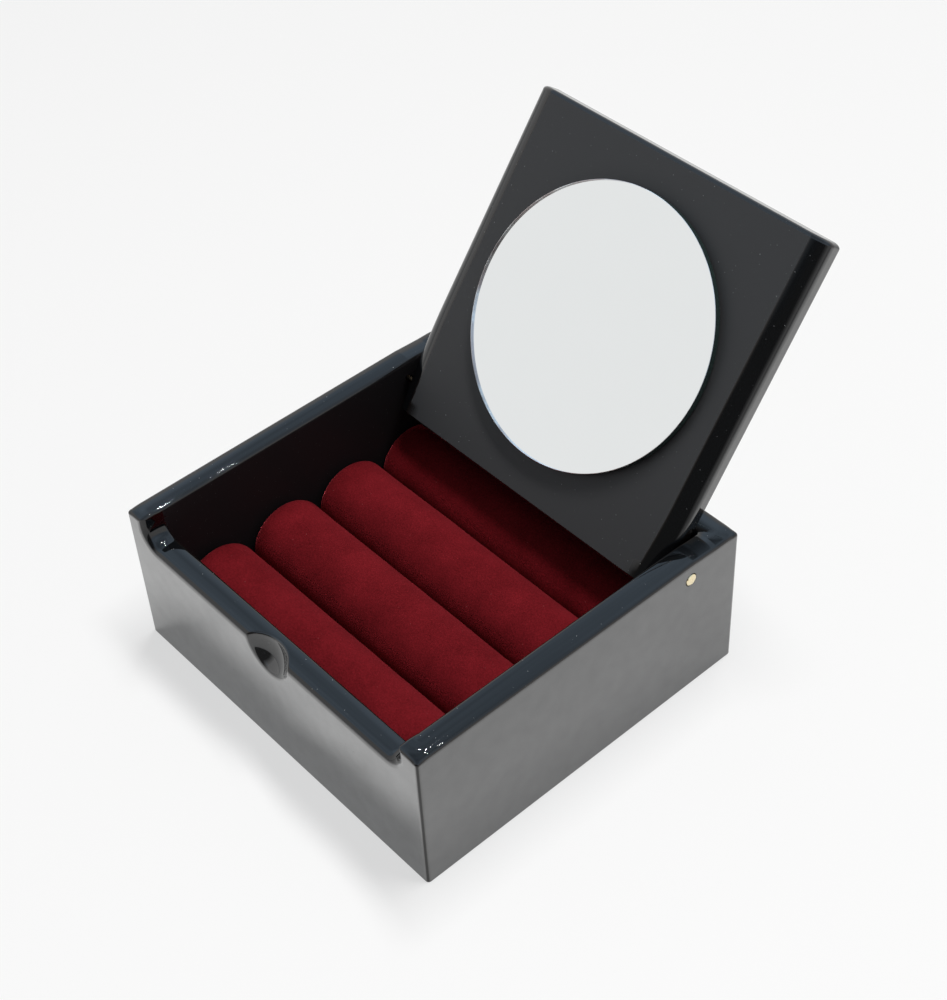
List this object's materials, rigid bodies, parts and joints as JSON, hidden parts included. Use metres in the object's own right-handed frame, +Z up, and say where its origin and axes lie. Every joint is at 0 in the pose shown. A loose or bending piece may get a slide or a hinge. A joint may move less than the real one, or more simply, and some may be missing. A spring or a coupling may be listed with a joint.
{
  "type": "lacquered ring box",
  "caption": "Black lacquered wooden ring box with velvet rolls, a hinged lid with a round mirror under it and mother-of-pearl inlay on top.",
  "frame": {"origin": "middle of the case's underside, on the surface that it stands on", "axes": "+X along the front wall to the right as seen from the front, +Y from front to back, +Z up"},
  "size_m": [0.1106, 0.1403, 0.1083],
  "materials": {
    "black_lacquer": "black lacquer over wood, polished to a mirror gloss",
    "bare_board": "thin plywood stained black",
    "felt": "short black felt",
    "card": "dark red card",
    "velvet": "short-pile dark red velvet",
    "foam": "soft foam rod",
    "mirror": "silvered glass with a ground edge",
    "pad": "thin double-sided mounting foam",
    "brass": "polished, slightly dulled",
    "mother_of_pearl": "mother-of-pearl shell, polished, with a shifting sheen"
  },
  "bodies": {
    "case": {"front_wall": "black_lacquer", "rear_wall": "black_lacquer", "left_wall": "black_lacquer", "right_wall": "black_lacquer", "base_board": "bare_board", "base_felt": "felt", "tray_board": "card", "velvet_cover_1": "velvet", "velvet_cover_2": "velvet", "velvet_cover_3": "velvet", "velvet_cover_4": "velvet", "foam_core_1": "foam", "foam_core_2": "foam", "foam_core_3": "foam", "foam_core_4": "foam", "pivot_pin_left": "brass", "pivot_pin_right": "brass"},
    "lid": {"lid_board": "black_lacquer", "mirror_pad": "pad", "mirror_glass": "mirror", "inlay_border_rear": "mother_of_pearl", "inlay_border_left": "mother_of_pearl", "inlay_border_front": "mother_of_pearl", "inlay_border_right": "mother_of_pearl", "inlay_ring": "mother_of_pearl", "inlay_bud": "mother_of_pearl", "inlay_petal_1": "mother_of_pearl", "inlay_petal_2": "mother_of_pearl", "inlay_petal_3": "mother_of_pearl", "inlay_petal_4": "mother_of_pearl", "inlay_petal_5": "mother_of_pearl", "inlay_petal_6": "mother_of_pearl", "inlay_petal_7": "mother_of_pearl", "inlay_petal_8": "mother_of_pearl", "inlay_petal_9": "mother_of_pearl", "inlay_petal_10": "mother_of_pearl", "inlay_petal_11": "mother_of_pearl", "inlay_petal_12": "mother_of_pearl", "inlay_fan_1": "mother_of_pearl", "inlay_fan_2": "mother_of_pearl", "inlay_fan_3": "mother_of_pearl", "inlay_fan_4": "mother_of_pearl"}
  },
  "joints": [
    {"name": "lid_hinge", "type": "hinge", "parent": "case", "child": "lid", "pos_m": [0, 0.0352, 0.0394], "axis": [1, 0, 0], "range_deg": [0, 126.93]}
  ]
}
